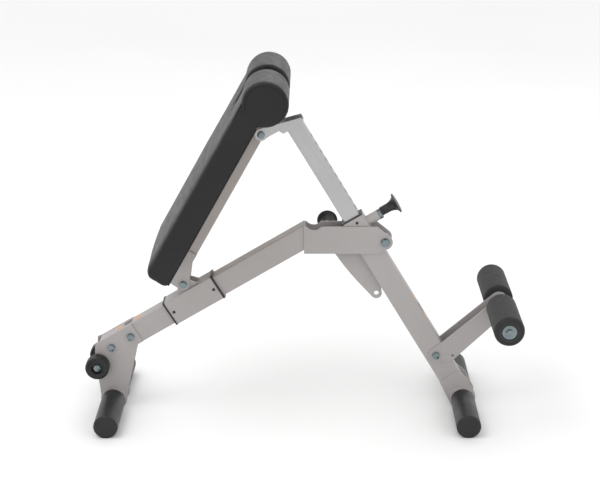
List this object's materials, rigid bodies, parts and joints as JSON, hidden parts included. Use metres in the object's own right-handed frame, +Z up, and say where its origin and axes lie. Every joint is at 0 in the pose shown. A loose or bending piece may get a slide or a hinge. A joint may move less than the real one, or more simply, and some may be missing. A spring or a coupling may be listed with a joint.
{
  "type": "adjustable weight bench",
  "caption": "Folding back-extension and sit-up bench: sloping beam, folding leg with telescoping strut, tilting split-top pad on a sliding carriage, foam ankle rollers and transport wheels.",
  "frame": {"origin": "on the floor, under the middle of the bench's bounding box", "axes": "+X towards the front leg and the ankle rollers, +Z up, +Y away from the side with the transport wheel bolt heads"},
  "size_m": [1.1526, 0.4228, 0.9424],
  "materials": {
    "frame_paint": "light warm grey powder coat",
    "zinc": "bright zinc plate",
    "satin_steel": "satin chrome plate",
    "black_plastic": "matt moulded",
    "foot_rubber": "matt rubber",
    "wheel_rubber": "matt rubber",
    "foam": "closed-cell foam",
    "vinyl": "grained upholstery vinyl",
    "board": "plywood"
  },
  "bodies": {
    "frame": {"main_beam": "frame_paint", "beam_end_cap": "black_plastic", "hub_plate_near": "frame_paint", "hub_plate_far": "frame_paint", "hub_end_wall": "frame_paint", "rear_plate_near": "frame_paint", "rear_plate_far": "frame_paint", "rear_bracket_bolts": "zinc", "rear_foot_tube": "frame_paint", "rear_sleeve_near": "foot_rubber", "rear_sleeve_far": "foot_rubber", "wheel_bolts": "zinc", "leg_pivot_bolt": "zinc", "fold_pin_housing": "frame_paint", "fold_pin_spring": "satin_steel"},
    "fold_pin": {"fold_pin": "satin_steel", "fold_pin_knob": "black_plastic"},
    "wheel_near": {"wheel_near": "wheel_rubber"},
    "wheel_far": {"wheel_far": "wheel_rubber"},
    "leg": {"leg_tube": "frame_paint", "leg_pivot_lug": "frame_paint", "leg_bushing": "black_plastic", "leg_bushing_screws": "black_plastic", "lock_quadrant": "frame_paint", "strut_pin_housing": "frame_paint", "strut_pin_spring": "satin_steel", "front_plate_near": "frame_paint", "front_plate_far": "frame_paint", "front_foot_tube": "frame_paint", "front_sleeve_near": "foot_rubber", "front_sleeve_far": "foot_rubber", "roller_arm": "frame_paint", "roller_arm_bolt": "zinc", "roller_axle": "satin_steel", "roller_end_bolts": "zinc"},
    "strut_pin": {"strut_pin": "satin_steel", "strut_pin_knob": "black_plastic"},
    "roller_near": {"roller_core_near": "black_plastic", "roller_foam_near": "foam"},
    "roller_far": {"roller_core_far": "black_plastic", "roller_foam_far": "foam"},
    "strut": {"strut_tube": "satin_steel", "strut_glide": "black_plastic"},
    "carriage": {"carriage_sleeve": "frame_paint", "carriage_bushing_upper": "black_plastic", "carriage_bushing_lower": "black_plastic", "carriage_screws": "black_plastic", "carriage_ears": "frame_paint"},
    "pad": {"pad_pivot_bolt": "zinc", "pad_frame": "frame_paint", "pad_lug_near": "frame_paint", "pad_lug_far": "frame_paint", "pad_crossbars": "frame_paint", "pad_screws": "zinc", "pad_board": "board", "pad_cushion": "vinyl"},
    "bracket": {"strut_bracket": "satin_steel", "bracket_pivot_bolt": "zinc"}
  },
  "joints": [
    {"name": "pad_tilt", "type": "hinge", "parent": "carriage", "child": "pad", "pos_m": [-0.30858, 0, 0.3598], "axis": [0, 1, 0], "range_deg": [0, 29.63]},
    {"name": "carriage_slide", "type": "slide", "parent": "frame", "child": "carriage", "axis": [-0.859, 0, -0.512], "range_m": [0, 0.06878]},
    {"name": "bracket_tilt", "type": "hinge", "parent": "pad", "child": "bracket", "pos_m": [-0.09699, 0, 0.76825], "axis": [0, 1, 0], "range_deg": [-29.63, 0]},
    {"name": "strut_slide", "type": "slide", "parent": "leg", "child": "strut", "axis": [0.512, 0, -0.859], "range_m": [0, 0.225]},
    {"name": "leg_fold", "type": "hinge", "parent": "frame", "child": "leg", "pos_m": [0.22545, 0, 0.47732], "axis": [0, 1, 0], "range_deg": [0, 90]},
    {"name": "strut_pin_pull", "type": "slide", "parent": "leg", "child": "strut_pin", "axis": [0.859, 0, 0.512], "range_m": [0, 0.012], "stiffness_N_per_m": 600, "springref_m": -0.006},
    {"name": "fold_pin_pull", "type": "slide", "parent": "frame", "child": "fold_pin", "axis": [0, 1, 0], "range_m": [0, 0.012], "stiffness_N_per_m": 600, "springref_m": -0.006},
    {"name": "wheel_near_spin", "type": "hinge", "parent": "frame", "child": "wheel_near", "pos_m": [-0.54433, 0, 0.1312], "axis": [0, 1, 0], "continuous": true},
    {"name": "wheel_far_spin", "type": "hinge", "parent": "frame", "child": "wheel_far", "pos_m": [-0.54433, 0, 0.1312], "axis": [0, 1, 0], "continuous": true},
    {"name": "roller_near_spin", "type": "hinge", "parent": "leg", "child": "roller_near", "pos_m": [0.53633, 0, 0.29564], "axis": [0, 1, 0], "continuous": true},
    {"name": "roller_far_spin", "type": "hinge", "parent": "leg", "child": "roller_far", "pos_m": [0.53633, 0, 0.29564], "axis": [0, 1, 0], "continuous": true}
  ],
  "couplings": [
    {"joint": "carriage_slide", "follows": "pad_tilt", "m_per_rad": 0.13298},
    {"joint": "bracket_tilt", "follows": "pad_tilt", "ratio": -1},
    {"joint": "strut_slide", "follows": "pad_tilt", "m_per_rad": 0.43502}
  ]
}
